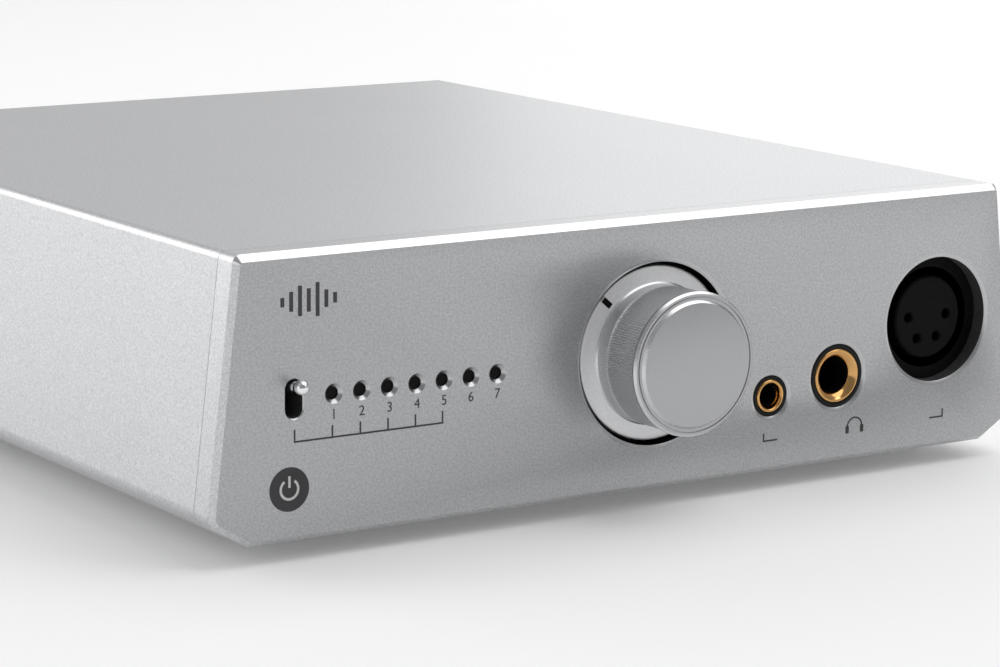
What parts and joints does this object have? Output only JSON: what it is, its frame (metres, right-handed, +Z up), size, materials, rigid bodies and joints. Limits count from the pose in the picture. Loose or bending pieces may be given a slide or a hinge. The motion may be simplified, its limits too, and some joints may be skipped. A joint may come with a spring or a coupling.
{
  "type": "desktop dac",
  "caption": "Silver aluminium desktop DAC and headphone amplifier: sloped-side case, knurled volume knob, input lever, indicator row, headphone sockets.",
  "frame": {"origin": "centre of the whole object's footprint, on the surface the feet stand on", "axes": "+Z up, -Y out of the front panel, +X to the right as seen from the front"},
  "size_m": [0.1766, 0.221, 0.0535],
  "materials": {
    "case_aluminium": "bead-blasted silver anodised",
    "panel_aluminium": "bead-blasted silver anodised, edges cut bright",
    "rear_aluminium": "bead-blasted silver anodised",
    "knob_aluminium": "turned and anodised, knurled grip",
    "black_paint": "filled engraving",
    "steel": "zinc plated",
    "brass": "plain",
    "chrome": "polished",
    "black_plastic": "fine moulded texture",
    "white_plastic": "moulded",
    "rocker_plastic": "glossy moulded",
    "socket_insulator": "moulded",
    "clear_plastic": "smoked light pipe",
    "circuit_board": "solder mask",
    "gold_plate": "gold plated",
    "black_metal": "black coated",
    "black_screw": "black oxide",
    "rubber": "moulded",
    "capacitor_sleeve": "shrink sleeve",
    "transformer_tape": "varnished tape over copper",
    "ribbon": "flat cable"
  },
  "bodies": {
    "chassis": {"balanced_contacts": "gold_plate", "balanced_insert": "black_plastic", "balanced_out_left": "black_metal", "balanced_out_pins": "gold_plate", "balanced_out_right": "black_metal", "balanced_shell": "black_metal", "board_pillars": "brass", "board_screws": "steel", "bottom_cover": "case_aluminium", "bottom_cover_screws": "black_screw", "case_sleeve": "case_aluminium", "channel_screws": "steel", "filter_capacitors": "capacitor_sleeve", "foot_screws": "black_screw", "front_board": "circuit_board", "front_panel": "panel_aluminium", "front_panel_screws": "steel", "front_ribbon_cable": "ribbon", "front_subpanel": "steel", "heat_sink": "black_metal", "jack_contacts": "gold_plate", "large_jack_collar": "black_plastic", "large_jack_funnel": "gold_plate", "large_jack_housing": "black_plastic", "light_pipes": "clear_plastic", "main_board": "circuit_board", "mains_inlet": "black_plastic", "mains_inlet_pins": "steel", "optical_socket": "black_plastic", "power_board": "circuit_board", "power_switch_frame": "black_plastic", "rca_barrels": "gold_plate", "rca_contacts": "gold_plate", "rca_insulators": "socket_insulator", "rear_panel": "rear_aluminium", "rear_panel_screws": "black_screw", "regulators": "black_plastic", "reservoir_capacitors": "capacitor_sleeve", "rubber_feet": "rubber", "small_jack_collar": "black_plastic", "small_jack_funnel": "gold_plate", "small_jack_housing": "black_plastic", "toggle_housing": "black_plastic", "toggle_pin": "steel", "transformer": "transformer_tape", "transformer_bolt": "steel", "transformer_pad": "rubber", "transformer_washer": "steel", "usb_socket": "steel", "usb_tongue": "white_plastic", "volume_bush": "brass", "volume_nut": "steel", "volume_potentiometer": "black_plastic"},
    "knob": {"volume_knob": "knob_aluminium", "knob_pointer": "black_paint", "volume_shaft": "steel"},
    "lever": {"toggle_lever": "chrome"},
    "rocker": {"power_rocker": "rocker_plastic"},
    "flap": {"optical_flap": "black_plastic"}
  },
  "joints": [
    {"name": "volume_turn", "type": "hinge", "parent": "chassis", "child": "knob", "pos_m": [0.0029, -0.0985, 0.02835], "axis": [0, 1, 0], "range_deg": [-102, 197]},
    {"name": "input_press", "type": "hinge", "parent": "chassis", "child": "lever", "pos_m": [-0.07225, -0.0865, 0.0282], "axis": [1, 0, 0], "range_deg": [0, 19], "stiffness_Nm_per_rad": 0.01, "springref_deg": -5.73},
    {"name": "power_rock", "type": "hinge", "parent": "chassis", "child": "rocker", "pos_m": [0.038, 0.101, 0.0285], "axis": [-1, 0, 0], "range_deg": [0, 20]},
    {"name": "optical_flap_swing", "type": "hinge", "parent": "chassis", "child": "flap", "pos_m": [0, 0.1005, 0.023], "axis": [-1, 0, 0], "range_deg": [0, 80], "stiffness_Nm_per_rad": 0.0005, "springref_deg": -11.46}
  ]
}
